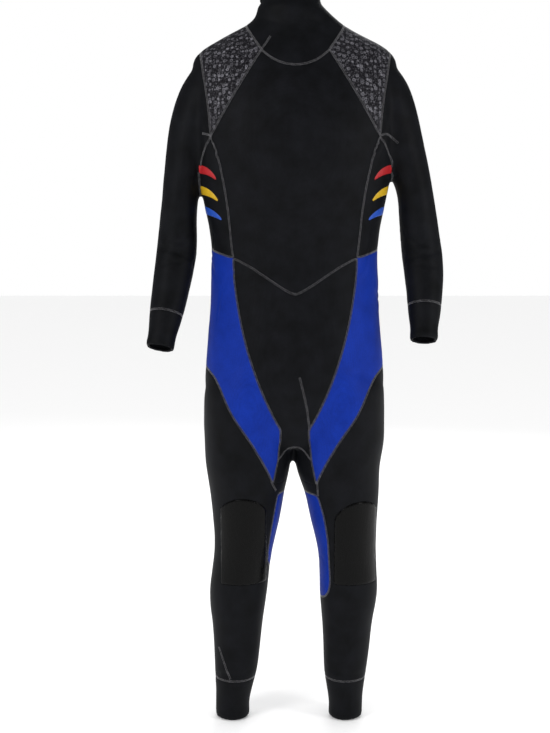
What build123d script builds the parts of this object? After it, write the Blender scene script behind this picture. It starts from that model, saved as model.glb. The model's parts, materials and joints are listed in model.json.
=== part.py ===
from build123d import *

import os

# Full wetsuit with a back zip, held in its worn shape.
# Row frame: millimetres, +Z up along the wearer's spine, -Y the wearer's front, +X the wearer's left.
# The origin is the centre of the neck opening, level with the collar's rim.
# Pattern numbers are millimetres of the base size: x from the body's middle plane, h up from the
# ankle hems. spot(), level() and sleeve_level() carry them onto the driving sizes below.

# Driving sizes of the suit
leg_length = 566  # ankle hem to crotch
torso_length = 890  # crotch to the foot of the collar
collar_rise = 56  # foot of the collar to its rim
sleeve_length = 539  # shoulder point to wrist hem, measured down
girth = 1.0  # width and depth of body and limbs against the base size
wall = 5  # neoprene with jersey on both faces

# Base sizes that the pattern numbers are drawn in
base_leg = 566
base_torso = 890
base_sleeve = 539
shoulder_h = 1345  # where the sleeves' own heights start

# Round seals
neck_radius = 53  # inside the collar
neck_band = 24  # straight part of the collar at its rim
wrist_radius = 23.5
wrist_band = 12
wrist_cuff = 72  # cuff's length along the forearm
ankle_radius = 31
ankle_band = 14
ankle_cuff_h = 90

# Lengths of limb that stretch when a joint bends
elbow_h = 1010
elbow_zone = 150
knee_h = 382
knee_zone = 236

# Places and patches
neck_to_middle = 8  # the body's middle plane stands this far to the left of the neck's axis
ridge_y = -5  # plane that parts the front outlines from the back outlines
reach = 450  # cutters run this far
flash_thick = 0.8  # printed flashes on the side panels
pad_thick = 1.6  # smooth rubber on the knees

# Back zip, down the middle of a dead straight back
back_y = 94 * girth
zip_foot_h = 959
zip_head_h = 1400
opening_half = 9  # from the middle to the edge of each back panel
slit_half = 1.5  # collar's split above the zip
tape_half = 18
tape_inset = 0.5  # from the middle to each tape
tape_thick = 1.0
tape_rebate = 0.6  # how far the tapes are let into the back panels
chain_outer = 4.2
chain_tooth = 1.0  # how far a tooth passes the middle
chain_spine = 1.5  # inner edge of the teeth's root
chain_thick = 3.2
tooth_pitch = 4.0
tooth_tall = 1.6
chain_margin = 6  # tape left bare at each end of the chain
stop_tall = 5
stop_run = 0.2  # between the chain and its stops
stop_split = 1.0  # by which each top stop is narrower than half the chain
flap_thick = 2.5
flap_right = -20
flap_left = 30
flap_inset = 2  # at each end of the zip
flap_run = 0.2  # between the tapes and the flap

# Slider and its pull
slider_run = 0.3  # clearance to the chain and tapes
slider_tall = 17
slider_plate = 2.2
slider_cheek = 1.9
slider_corner = 2.5
slider_step = 1  # below the chain's upper end
ear_thick = 1.6
ear_height = 5.2
ear_cap = 0.8  # past the pin
pin_inset = 0.2  # of each pin end in its ear
pin_radius = 1.0
pin_run = 0.05
eye_wall = 1.1
pull_gap = 0.3
pull_width = 8
pull_thick = 1.6
pull_length = 32
pull_corner = 2.2
pull_hole = 2.1
pull_hole_rise = 5  # from the tab's end to the middle of its hole
pull_drop = 1  # from the ears to the tab

# Collar tab, a strap that closes the collar over the zip
tab_thick = 3.0
patch_thick = 0.8
tab_run = 0.3
tab_low = -22
tab_high = -3
tab_from = 50  # degrees round the collar from the left side
tab_to = 174
patch_from = 122
patch_inset = 2  # degrees between the tab's end and its patches
hook_margin = 1
anchor_from = 30
anchor_to = 48

# Rows of the body: h, half width, half depth, y of the centre
trunk_rows = [
    (593, 90, 56, -9),
    (633, 140, 86, -6),
    (682, 178, 108, -3),
    (740, 184, 116, -3),
    (820, 178, 109, -7),
    (900, 172, 103, -9),
    (958, 170, 102, -8),
    (1029, 172, 104, -10),
    (1118, 188, 112, -18),
    (1189, 198, 117, -23),
    (1269, 204, 116, -22),
    (1340, 205, 106, -12),
    (1389, 193, 93, 1),
    (1413, 159, 84, 8),
    (1436, 115, 75, 9),
    (1456, 84, 68, 4),
]
# Rows of a leg: h, x of the right leg, x of the left leg, half width, half depth, y of the centre
leg_rows = [
    (800, -88, 88, 68, 88, -4),
    (740, -92, 92, 82, 104, -4),
    (699, -95, 95, 91, 109, -4),
    (640, -95, 94, 93, 106, -6),
    (600, -95, 94, 92, 101, -8),
    (552, -96, 91, 88, 97, -9),
    (495, -98, 99, 78, 88, -10),
    (439, -100, 104, 70, 80, -12),
    (382, -105, 110, 62, 70, -14),
    (325, -112, 114, 60.5, 64, -10),
    (268, -118, 116, 60.5, 66, -2),
    (212, -120, 114, 54, 60, 0),
    (153, -121, 112, 49, 51, -2),
    (95, -124, 110, 44, 46, -4),
]
ankle_x = {-1: -131, 1: 111}
ankle_y = -6
# Rows of each sleeve: h, x, y, half width, half depth
sleeve_rows = {
    -1: [
        (1345, -105, -4, 50, 52),
        (1325, -160, -6, 56, 58),
        (1268, -196, -8, 50, 56),
        (1200, -213, -9, 46, 53),
        (1130, -228, -9, 38, 50),
        (1066, -236, -10, 37, 47),
        (1010, -239, -12, 40.5, 45),
        (961, -245, -24, 40, 43),
        (909, -253, -44, 37, 39),
        (858, -262, -66, 32, 34),
    ],
    1: [
        (1345, 105, -4, 50, 52),
        (1325, 160, -6, 56, 58),
        (1268, 196, -8, 50, 56),
        (1200, 216, -9, 46, 53),
        (1130, 240, -9, 37, 50),
        (1066, 250, -10, 38, 47),
        (1010, 257, -12, 40.5, 45),
        (961, 262, -24, 40, 43),
        (909, 263, -44, 36, 39),
        (862, 261, -64, 31, 33),
    ],
}
wrist_end = {-1: (806, -271, -88), 1: (821, 259, -82)}

# Seams of the left half, each a smooth curve. Corners are where one seam ends and the next starts
corner_neck = (66, 1393)
corner_ridge = (104, 1458)
corner_cap = (198, 1444)
corner_armpit = (166, 1226)
corner_waist = (124, 986)
corner_side = (189.3, 1007)
corner_fork = (28, 638)
corner_gusset = (34, 572)
corner_inseam = (44, 525)
corner_hip = (184, 760)
back_neck = (74, 1424)
back_armpit = (166, 1262)
back_waist = (132, 988)
back_gusset = (34, 585)

neck_front = [(-corner_neck[0], corner_neck[1]), (-38, 1371), (0, 1362), (38, 1371), corner_neck]
neck_side = [corner_neck, (80, 1413), (98, 1443), corner_ridge]
raglan = [corner_neck, (114, 1316), corner_armpit]
armhole = [corner_cap, (189, 1388), (177, 1320), corner_armpit]
side_seam = [corner_armpit, (153, 1185), (135, 1095), (129, 1033), corner_waist]
waist_side = [corner_waist, (150, 993), corner_side]
waist_front = [corner_waist, (91, 970), (38, 936), (0, 914)]
hip_front = [corner_waist, (119, 920), (97, 808), (60, 704), corner_fork]
fork = [corner_fork, corner_gusset]
inseam = [corner_gusset, corner_inseam]
gusset_front = [corner_gusset, (0, 600), (-34, 572)]
hip_edge = [corner_inseam, (68, 580), (98, 630), (131, 681), (158, 735), corner_hip]

neck_back = [(0, 1404), (42, 1409), back_neck]
neck_back_side = [back_neck, (98, 1443), corner_ridge]
raglan_back = [back_neck, (124, 1348), back_armpit]
armhole_back = [corner_cap, (189, 1388), (180, 1325), back_armpit]
side_back = [back_armpit, (158, 1185), (142, 1090), back_waist]
waist_back_side = [back_waist, (150, 993), corner_side]
waist_back = [back_waist, (66, 966), (0, 955)]
hip_back = [back_waist, (142, 900), (160, 825), corner_hip]
seat_seam = [corner_hip, (125, 655), (70, 600), back_gusset]
gusset_back = [back_gusset, (0, 600), (-34, 585)]

# The underarm seam: down the crease of each sleeve, then clear of the ribs
underarm = {
    -1: [corner_armpit, (186, 1180), (189.3, 1130)],
    1: [corner_armpit, (188, 1185), (195, 1140)],
}
underarm_back = {
    -1: [back_armpit, (187, 1190), (189.3, 1130)],
    1: [back_armpit, (189, 1190), (195, 1140)],
}
# Outer edge of the blue inner-leg panels, mid thigh to calf
inner_seam = {
    -1: [(34, 500), (43, 450), (51, 400), (55, 360), (46, 322)],
    1: [(46, 500), (61, 449), (69, 397), (72, 348), (59, 268), (46, 262)],
}
# Knee pads: two lower corners, then the rounded top
pad_foot_h = 309
pad_top = {
    -1: [(151, 470), (128, 491), (105, 496), (82, 491), (59, 470)],
    1: [(169, 468), (139, 488), (108, 481), (83, 452)],
}
# Flashes: name, h of the upper edge at the side, x and h of the tip
flashes = [("red", 1168, 158, 1143), ("yellow", 1126, 155, 1101), ("blue", 1085, 148, 1063)]
flash_tall = 14
flash_bow = 7  # by which the upper edge is rounded
flash_edge_x = 200  # past the body's side
flash_low_h = 1050
flash_high_h = 1200


def level(h):
    """Height in the row frame of a pattern height."""
    if h < base_leg:
        real = h * leg_length / base_leg
    else:
        real = leg_length + (h - base_leg) * torso_length / base_torso
    return real - leg_length - torso_length - collar_rise


def sleeve_level(h):
    """Height in the row frame of a pattern height on a sleeve."""
    return level(shoulder_h) - (shoulder_h - h) * sleeve_length / base_sleeve


def spot(point, side=1):
    """Pattern point on the drawing plane, on the left half or mirrored to the right."""
    x, h = point
    return (side * x * girth, level(h))


def row_point(x, y, z):
    return Vector(neck_to_middle + x * girth, y * girth, z)


def flat(x, y, z):
    return Plane(origin=row_point(x, y, z))


def wrist_plane(side, back=0):
    """Plane of a wrist's hem, facing out along the forearm, or one further up the arm."""
    h, x, y = wrist_end[side]
    last_h, last_x, last_y = sleeve_rows[side][-1][:3]
    end = row_point(x, y, sleeve_level(h))
    way = (end - row_point(last_x, last_y, sleeve_level(last_h))).normalized()
    across = Vector(1, 0, 0) - way * way.X
    return Plane(origin=end - way * back, x_dir=across, z_dir=way)


def trunk_sections():
    rows = [
        (flat(0, y, level(h)), width * girth, depth * girth) for h, width, depth, y in trunk_rows
    ]
    rim = neck_radius + wall
    rows.append((Plane.XY.offset(-neck_band - 10), rim + 9, rim + 7))
    rows.append((Plane.XY.offset(-neck_band), rim, rim))
    return rows


def leg_sections(side):
    rows = [
        (flat(right if side < 0 else left, y, level(h)), width * girth, depth * girth)
        for h, right, left, width, depth, y in leg_rows
    ]
    rim = ankle_radius + wall
    for rise in (ankle_band + 18, ankle_band):
        rows.append((flat(ankle_x[side], ankle_y, level(0) + rise), rim, rim))
    return rows


def sleeve_sections(side):
    rows = sleeve_rows[side]
    points = [row_point(x, y, sleeve_level(h)) for h, x, y, _, _ in rows]
    points.append(wrist_plane(side).origin)
    sections = []
    for index, (_, _, _, width, depth) in enumerate(rows):
        way = (points[index + 1] - points[max(index - 1, 0)]).normalized()
        across = Vector(1, 0, 0) - way * way.X
        plane = Plane(origin=points[index], x_dir=across, z_dir=way)
        sections.append((plane, width * girth, depth * girth))
    rim = wrist_radius + wall
    for back in (wrist_band + 14, wrist_band):
        sections.append((wrist_plane(side, back), rim, rim))
    return sections


def limb(sections, grow=0.0):
    """Smooth solid through elliptical sections, each grown by one margin."""
    with BuildPart() as solid:
        for plane, width, depth in sections:
            with BuildSketch(plane):
                Ellipse(width + grow, depth + grow)
        loft()
    return solid.part


drawing_plane = Plane(origin=(neck_to_middle, ridge_y, 0), x_dir=(1, 0, 0), z_dir=(0, -1, 0))


def outline(*seams, side=1):
    """Face closed by seams laid end to end on the drawing plane."""
    with BuildSketch(drawing_plane) as face:
        with BuildLine():
            for seam in seams:
                points = [spot(point, side) for point in seam]
                if len(points) == 2:
                    Line(*points)
                else:
                    Spline(*points)
        make_face()
    return face.sketch


def cutter(front=None, back=None):
    """Block through all that a front outline covers, and all that a back outline covers."""
    with BuildPart() as block:
        if front:
            extrude(front, amount=reach)
        if back:
            extrude(back, amount=-reach)
    return block.part


def between(low, high):
    """Slab between two heights of the row frame."""
    with BuildPart() as block:
        with BuildSketch(Plane.XY.offset(low)):
            Rectangle(2 * reach, 2 * reach)
        extrude(amount=high - low)
    return block.part


def zip_box(half, low, high, y_from, y_to):
    """Box about the suit's middle plane, between two heights and two depths."""
    with BuildPart() as block:
        with BuildSketch(Plane.XY.offset(low)):
            with Locations((neck_to_middle, (y_from + y_to) / 2)):
                Rectangle(2 * half, y_to - y_from)
        extrude(amount=high - low)
    return block.part


def turned(seam):
    return seam[::-1]


def mirrored(seam):
    return [(-x, h) for x, h in seam[::-1]]


os.makedirs("parts", exist_ok=True)
side_names = {-1: "right", 1: "left"}

# Sheets: the outside of the joined limbs less the inside of each
trunk = limb(trunk_sections())
trunk_inside = limb(trunk_sections(), -wall)
sleeves = {side: limb(sleeve_sections(side)) for side in side_names}
sleeve_insides = {side: limb(sleeve_sections(side), -wall) for side in side_names}
legs = {side: limb(leg_sections(side)) for side in side_names}
leg_insides = {side: limb(leg_sections(side), -wall) for side in side_names}

with BuildPart() as upper_sheet:
    add(trunk)
    for side in side_names:
        add(sleeves[side])
    add(trunk_inside, mode=Mode.SUBTRACT)
    for side in side_names:
        add(sleeve_insides[side], mode=Mode.SUBTRACT)

# Between the legs the body keeps a floor one wall thick
trunk_foot = level(trunk_rows[0][0])
with BuildPart() as trunk_hollow:
    add(trunk_inside)
    add(between(trunk_foot + wall, 0), mode=Mode.INTERSECT)

with BuildPart() as lower_sheet:
    add(trunk)
    for side in side_names:
        add(legs[side])
    add(trunk_hollow.part, mode=Mode.SUBTRACT)
    for side in side_names:
        add(leg_insides[side], mode=Mode.SUBTRACT)

# Collar: the ring at the rim, and the yoke that runs down to the neck seam
over = (0, 1600)
far_ridge = (-corner_ridge[0], corner_ridge[1])
with BuildPart() as collar:
    add(upper_sheet.part)
    front = outline(
        neck_front, neck_side, [corner_ridge, over], [over, far_ridge], mirrored(neck_side)
    )
    back = outline(
        neck_back,
        neck_back_side,
        [corner_ridge, over],
        [over, far_ridge],
        mirrored(neck_back_side),
        mirrored(neck_back),
    )
    add(cutter(front, back), mode=Mode.INTERSECT)
    with BuildSketch(Plane.XY.offset(-neck_band)):
        Circle(neck_radius + wall)
        Circle(neck_radius, mode=Mode.SUBTRACT)
    extrude(amount=neck_band)
    add(zip_box(slit_half, level(zip_head_h), 1, 0, reach), mode=Mode.SUBTRACT)
collar.part.label = "collar"
export_step(collar.part, "parts/collar.step")

# Chest
with BuildPart() as chest_panel:
    add(upper_sheet.part)
    half = [raglan, side_seam, waist_front]
    front = outline(neck_front, *half, *[mirrored(seam) for seam in turned(half)])
    add(cutter(front), mode=Mode.INTERSECT)
chest_panel.part.label = "chest_panel"
export_step(chest_panel.part, "parts/chest_panel.step")

for side, name in side_names.items():
    # Printed panel over the shoulder, from the raglan seam to the armhole
    with BuildPart() as shoulder_panel:
        add(upper_sheet.part)
        front = outline(neck_side, [corner_ridge, corner_cap], armhole, turned(raglan), side=side)
        back = outline(
            neck_back_side,
            [corner_ridge, corner_cap],
            armhole_back,
            turned(raglan_back),
            side=side,
        )
        add(cutter(front, back), mode=Mode.INTERSECT)
    shoulder_panel.part.label = f"{name}_shoulder_panel"
    export_step(shoulder_panel.part, f"parts/{name}_shoulder_panel.step")

    # Side panel, from the underarm to the waist
    crease = underarm[side][-1]
    with BuildPart() as side_panel:
        add(upper_sheet.part)
        front = outline(
            side_seam,
            waist_side,
            [corner_side, crease],
            turned(underarm[side]),
            side=side,
        )
        back = outline(
            side_back,
            waist_back_side,
            [corner_side, crease],
            turned(underarm_back[side]),
            side=side,
        )
        add(cutter(front, back), mode=Mode.INTERSECT)
    side_panel.part.label = f"{name}_side_panel"
    export_step(side_panel.part, f"parts/{name}_side_panel.step")

    # Whole sleeve, cut off at the armhole, then across into its four pieces
    far_top = (420, 1444)
    far_foot = (420, 640)
    crease_foot = (crease[0], 640)
    with BuildPart() as sleeve_sheet:
        add(upper_sheet.part)
        loop = [
            [crease, crease_foot],
            [crease_foot, far_foot],
            [far_foot, far_top],
            [far_top, corner_cap],
        ]
        front = outline(armhole, underarm[side], *loop, side=side)
        back = outline(armhole_back, underarm_back[side], *loop, side=side)
        add(cutter(front, back), mode=Mode.INTERSECT)
    elbow_low = sleeve_level(elbow_h - elbow_zone / 2)
    elbow_high = sleeve_level(elbow_h + elbow_zone / 2)

    with BuildPart() as upper_sleeve:
        add(sleeve_sheet.part)
        add(between(elbow_high, 0), mode=Mode.INTERSECT)
    upper_sleeve.part.label = f"{name}_upper_sleeve"
    export_step(upper_sleeve.part, f"parts/{name}_upper_sleeve.step")

    # Back panel, let in for the zip's tape
    middle_foot = (0, 955)
    middle_head = (0, 1404)
    with BuildPart() as back_panel:
        add(upper_sheet.part)
        back = outline(
            neck_back,
            raglan_back,
            side_back,
            waist_back,
            [middle_foot, middle_head],
            side=side,
        )
        add(cutter(None, back), mode=Mode.INTERSECT)
        low = level(zip_foot_h)
        high = level(zip_head_h)
        add(zip_box(opening_half, low, high, 0, reach), mode=Mode.SUBTRACT)
        rebate_y = back_y - wall + tape_rebate
        add(zip_box(tape_half, low, high, 0, rebate_y), mode=Mode.SUBTRACT)
        add(zip_box(slit_half, high, 0, 0, reach), mode=Mode.SUBTRACT)
    back_panel.part.label = f"{name}_back_panel"
    export_step(back_panel.part, f"parts/{name}_back_panel.step")

    # Blue hip panel: round the hip, down the front of the thigh to a point at the inseam
    with BuildPart() as hip_panel:
        add(lower_sheet.part)
        front = outline(
            hip_front,
            fork,
            inseam,
            hip_edge,
            [corner_hip, corner_side],
            turned(waist_side),
            side=side,
        )
        back = outline(hip_back, [corner_hip, corner_side], turned(waist_back_side), side=side)
        add(cutter(front, back), mode=Mode.INTERSECT)
    hip_panel.part.label = f"{name}_hip_panel"
    export_step(hip_panel.part, f"parts/{name}_hip_panel.step")

    # Thigh panel, down to the knee section
    far_hip = (240, 740)
    knee_top_h = knee_h + knee_zone / 2
    thigh_foot = [(240, knee_top_h), (0, knee_top_h)]
    with BuildPart() as thigh_panel:
        add(lower_sheet.part)
        loop = [
            [corner_hip, far_hip],
            [far_hip, thigh_foot[0]],
            thigh_foot,
            [thigh_foot[1], (0, 525)],
            [(0, 525), corner_inseam],
        ]
        front = outline(hip_edge, *loop, side=side)
        back = outline(turned(seat_seam), *loop, [corner_inseam, back_gusset], side=side)
        add(cutter(front, back), mode=Mode.INTERSECT)
    thigh_panel.part.label = f"{name}_thigh_panel"
    export_step(thigh_panel.part, f"parts/{name}_thigh_panel.step")

    # Leg below the thigh: a sheet of its own
    with BuildPart() as leg_sheet:
        add(legs[side])
        add(leg_insides[side], mode=Mode.SUBTRACT)

    knee_low = level(knee_h - knee_zone / 2)
    knee_high = level(knee_h + knee_zone / 2)
    inner_edge = inner_seam[side]
    inner_top = (0, inner_edge[0][1])
    inner_foot = (0, inner_edge[-1][1])
    inner_face = outline(
        inner_edge,
        [inner_edge[-1], inner_foot],
        [inner_foot, inner_top],
        [inner_top, inner_edge[0]],
        side=side,
    )
    inner_block = cutter(inner_face, inner_face)

    with BuildPart() as knee_section:
        add(leg_sheet.part)
        add(between(knee_low, knee_high), mode=Mode.INTERSECT)
        add(inner_block, mode=Mode.SUBTRACT)
    knee_section.part.label = f"{name}_knee_section"
    export_step(knee_section.part, f"parts/{name}_knee_section.step")

    with BuildPart() as inner_leg_panel:
        add(leg_sheet.part)
        add(between(knee_low, knee_high), mode=Mode.INTERSECT)
        add(inner_block, mode=Mode.INTERSECT)
    inner_leg_panel.part.label = f"{name}_inner_leg_panel"
    export_step(inner_leg_panel.part, f"parts/{name}_inner_leg_panel.step")

    with BuildPart() as knee_pad:
        add(limb(leg_sections(side), pad_thick))
        top = pad_top[side]
        outer_foot = (top[0][0], pad_foot_h)
        inside_foot = (top[-1][0], pad_foot_h)
        front = outline(
            top,
            [top[-1], inside_foot],
            [inside_foot, outer_foot],
            [outer_foot, top[0]],
            side=side,
        )
        add(cutter(front), mode=Mode.INTERSECT)
        add(legs[side], mode=Mode.SUBTRACT)
    knee_pad.part.label = f"{name}_knee_pad"
    export_step(knee_pad.part, f"parts/{name}_knee_pad.step")

    with BuildPart() as shin_panel:
        add(leg_sheet.part)
        add(between(level(ankle_cuff_h), knee_low), mode=Mode.INTERSECT)
    shin_panel.part.label = f"{name}_shin_panel"
    export_step(shin_panel.part, f"parts/{name}_shin_panel.step")

    with BuildPart() as ankle_cuff:
        add(leg_sheet.part)
        add(between(level(0), level(ankle_cuff_h)), mode=Mode.INTERSECT)
        with BuildSketch(flat(ankle_x[side], ankle_y, level(0))):
            Circle(ankle_radius + wall)
            Circle(ankle_radius, mode=Mode.SUBTRACT)
        extrude(amount=ankle_band)
    ankle_cuff.part.label = f"{name}_ankle_cuff"
    export_step(ankle_cuff.part, f"parts/{name}_ankle_cuff.step")

    with BuildPart() as elbow_section:
        add(sleeve_sheet.part)
        add(between(elbow_low, elbow_high), mode=Mode.INTERSECT)
    elbow_section.part.label = f"{name}_elbow_section"
    export_step(elbow_section.part, f"parts/{name}_elbow_section.step")

    with BuildPart() as cuff_block:
        with BuildSketch(wrist_plane(side, wrist_cuff)):
            Circle(2 * wrist_cuff)
        extrude(amount=2 * wrist_cuff)

    with BuildPart() as forearm_sleeve:
        add(sleeve_sheet.part)
        add(between(elbow_low - reach, elbow_low), mode=Mode.INTERSECT)
        add(cuff_block.part, mode=Mode.SUBTRACT)
    forearm_sleeve.part.label = f"{name}_forearm_sleeve"
    export_step(forearm_sleeve.part, f"parts/{name}_forearm_sleeve.step")

    with BuildPart() as wrist_cuff_piece:
        add(sleeve_sheet.part)
        add(cuff_block.part, mode=Mode.INTERSECT)
        with BuildSketch(wrist_plane(side)):
            Circle(wrist_radius + wall)
            Circle(wrist_radius, mode=Mode.SUBTRACT)
        extrude(amount=-wrist_band)
    wrist_cuff_piece.part.label = f"{name}_wrist_cuff"
    export_step(wrist_cuff_piece.part, f"parts/{name}_wrist_cuff.step")

    # Three printed flashes on the side panel, under the arm, cut from one thin skin
    with BuildPart() as flash_skin:
        add(limb(trunk_sections(), flash_thick))
        add(between(level(flash_low_h), level(flash_high_h)), mode=Mode.INTERSECT)
        add(trunk, mode=Mode.SUBTRACT)
        add(sleeves[side], mode=Mode.SUBTRACT)
    for colour, edge_h, tip_x, tip_h in flashes:
        edge = (flash_edge_x, edge_h)
        middle = ((edge[0] + tip_x) / 2 - 3, (edge_h + tip_h) / 2 + flash_bow)
        lower_edge = (edge[0], edge_h - flash_tall)
        lower_middle = (middle[0] + 3, middle[1] - flash_tall * 0.7)
        face = outline(
            [edge, middle, (tip_x, tip_h)],
            [(tip_x, tip_h), lower_middle, lower_edge],
            [lower_edge, edge],
            side=side,
        )
        with BuildPart() as flash:
            add(flash_skin.part)
            add(cutter(face, face), mode=Mode.INTERSECT)
        flash.part.label = f"{name}_{colour}_flash"
        export_step(flash.part, f"parts/{name}_{colour}_flash.step")

# Belly panel, between the blue hip panels
with BuildPart() as belly_panel:
    add(lower_sheet.part)
    half = [hip_front, fork]
    front = outline(
        turned(waist_front),
        *half,
        gusset_front,
        *[mirrored(seam) for seam in turned(half)],
        mirrored(turned(waist_front)),
    )
    add(cutter(front), mode=Mode.INTERSECT)
belly_panel.part.label = "belly_panel"
export_step(belly_panel.part, "parts/belly_panel.step")

# Seat, from the back waist to the tops of the legs
with BuildPart() as seat_panel:
    add(lower_sheet.part)
    half = [hip_back, seat_seam]
    back = outline(
        turned(waist_back),
        *half,
        gusset_back,
        *[mirrored(seam) for seam in turned(half)],
        mirrored(turned(waist_back)),
    )
    add(cutter(None, back), mode=Mode.INTERSECT)
seat_panel.part.label = "seat_panel"
export_step(seat_panel.part, "parts/seat_panel.step")

# Gusset between the legs
with BuildPart() as crotch_gusset:
    add(lower_sheet.part)
    foot = [corner_inseam, (-corner_inseam[0], corner_inseam[1])]
    front = outline(turned(gusset_front), inseam, foot, mirrored(inseam))
    back_inseam = [back_gusset, corner_inseam]
    back = outline(turned(gusset_back), back_inseam, foot, mirrored(back_inseam))
    add(cutter(front, back), mode=Mode.INTERSECT)
crotch_gusset.part.label = "crotch_gusset"
export_step(crotch_gusset.part, "parts/crotch_gusset.step")

# Back zip. Depths are row y, out of the wearer's back
zip_low = level(zip_foot_h)
zip_high = level(zip_head_h)
tape_face = back_y - wall + tape_rebate
chain_face = tape_face + chain_thick
chain_low = zip_low + chain_margin
chain_high = zip_high - chain_margin
chain_length = chain_high - chain_low
tooth_count = int((chain_length - tooth_pitch) // tooth_pitch)
tape_plane = Plane(
    origin=(neck_to_middle, tape_face, (chain_low + chain_high) / 2),
    x_dir=(-1, 0, 0),
    z_dir=(0, 1, 0),
)

for side, name in side_names.items():
    with BuildPart() as zip_tape:
        with BuildSketch(tape_plane):
            with Locations((-side * (tape_half + tape_inset) / 2, 0)):
                Rectangle(tape_half - tape_inset, zip_high - zip_low)
        extrude(amount=-tape_thick)
    zip_tape.part.label = f"{name}_zip_tape"
    export_step(zip_tape.part, f"parts/{name}_zip_tape.step")

    with BuildPart() as zip_teeth:
        with BuildSketch(tape_plane):
            with Locations((-side * (chain_outer + chain_spine) / 2, 0)):
                Rectangle(chain_outer - chain_spine, chain_length)
            with Locations((-side * (chain_outer - chain_tooth) / 2, side * tooth_pitch / 4)):
                with GridLocations(0, tooth_pitch, 1, tooth_count):
                    Rectangle(chain_outer + chain_tooth, tooth_tall)
        extrude(amount=chain_thick)
    zip_teeth.part.label = f"{name}_zip_teeth"
    export_step(zip_teeth.part, f"parts/{name}_zip_teeth.step")

with BuildPart() as zip_stops:
    with BuildSketch(tape_plane):
        with Locations((0, -(chain_length + stop_tall) / 2 - stop_run)):
            Rectangle(2 * chain_outer, stop_tall)
        with Locations((0, (chain_length + stop_tall) / 2 + stop_run)):
            with GridLocations(chain_outer, 0, 2, 1):
                Rectangle(chain_outer - stop_split, stop_tall)
    extrude(amount=chain_thick)
zip_stops.part.label = "zip_stops"
export_step(zip_stops.part, "parts/zip_stops.step")

# Flap behind the zip, sewn to the left back panel
with BuildPart() as zip_flap:
    add(trunk_inside)
    flap_foot = zip_foot_h + flap_inset
    flap_head = zip_head_h - flap_inset
    face = outline(
        [(flap_right, flap_foot), (flap_left, flap_foot)],
        [(flap_left, flap_foot), (flap_left, flap_head)],
        [(flap_left, flap_head), (flap_right, flap_head)],
        [(flap_right, flap_head), (flap_right, flap_foot)],
    )
    add(cutter(None, face), mode=Mode.INTERSECT)
    add(limb(trunk_sections(), -wall - flap_thick), mode=Mode.SUBTRACT)
    tape_back = tape_face - tape_thick - flap_run
    tape_edge = tape_half + tape_inset
    add(zip_box(tape_edge, zip_low, zip_high, tape_back, reach), mode=Mode.SUBTRACT)
zip_flap.part.label = "zip_flap"
export_step(zip_flap.part, "parts/zip_flap.step")

# Slider: a plate over the chain with a cheek down each side, and two ears for the pull's pin
slider_top = zip_high - chain_margin - slider_step
slider_middle = slider_top - slider_tall / 2
plate_face = chain_face + slider_run
ear_face = plate_face + slider_plate
pin_y = ear_face + eye_wall + pin_radius + pin_run + pull_gap
slider_half = chain_outer + slider_run + slider_cheek
slider_plane = Plane(origin=(neck_to_middle, 0, slider_middle), x_dir=(-1, 0, 0), z_dir=(0, 1, 0))
with BuildPart() as zip_slider:
    with BuildSketch(slider_plane.offset(tape_face + slider_run)):
        RectangleRounded(2 * slider_half, slider_tall, slider_corner)
    extrude(amount=ear_face - tape_face - slider_run)
    with BuildSketch(slider_plane.offset(tape_face)):
        Rectangle(2 * (chain_outer + slider_run), slider_tall + 2)
    extrude(amount=plate_face - tape_face, mode=Mode.SUBTRACT)
    with BuildSketch(slider_plane.offset(ear_face)):
        with GridLocations(2 * (pull_width / 2 - ear_thick / 2), 0, 2, 1):
            Rectangle(ear_thick, ear_height)
    extrude(amount=pin_y - ear_face + pin_radius + ear_cap)
    ear_plane = Plane(origin=(neck_to_middle, pin_y, slider_middle), x_dir=(0, 1, 0), z_dir=(1, 0, 0))
    with BuildSketch(ear_plane):
        Circle(pin_radius)
    extrude(amount=pull_width / 2 - pin_inset, both=True)
zip_slider.part.label = "zip_slider"
export_step(zip_slider.part, "parts/zip_slider.step")

# Pull: an eye round the pin, a neck between the ears and a tab with a hole
with BuildPart() as zip_pull:
    eye_half = pull_width / 2 - ear_thick - pull_gap
    eye_radius = pin_radius + pin_run + eye_wall
    with BuildSketch(ear_plane):
        Circle(eye_radius)
    extrude(amount=eye_half, both=True)
    with BuildSketch(slider_plane.offset(pin_y - pull_thick / 2)):
        with Locations((0, -pull_length / 4)):
            Rectangle(2 * eye_half, pull_length / 2)
        with Locations((0, -ear_height / 2 - pull_drop - pull_length / 2)):
            RectangleRounded(pull_width, pull_length, pull_corner)
        with Locations((0, -ear_height / 2 - pull_drop - pull_length + pull_hole_rise)):
            Circle(pull_hole, mode=Mode.SUBTRACT)
    extrude(amount=pull_thick)
    with BuildSketch(ear_plane):
        Circle(pin_radius + pin_run)
    extrude(amount=pull_width, both=True, mode=Mode.SUBTRACT)
zip_pull.part.label = "zip_pull"
export_step(zip_pull.part, "parts/zip_pull.step")

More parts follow.
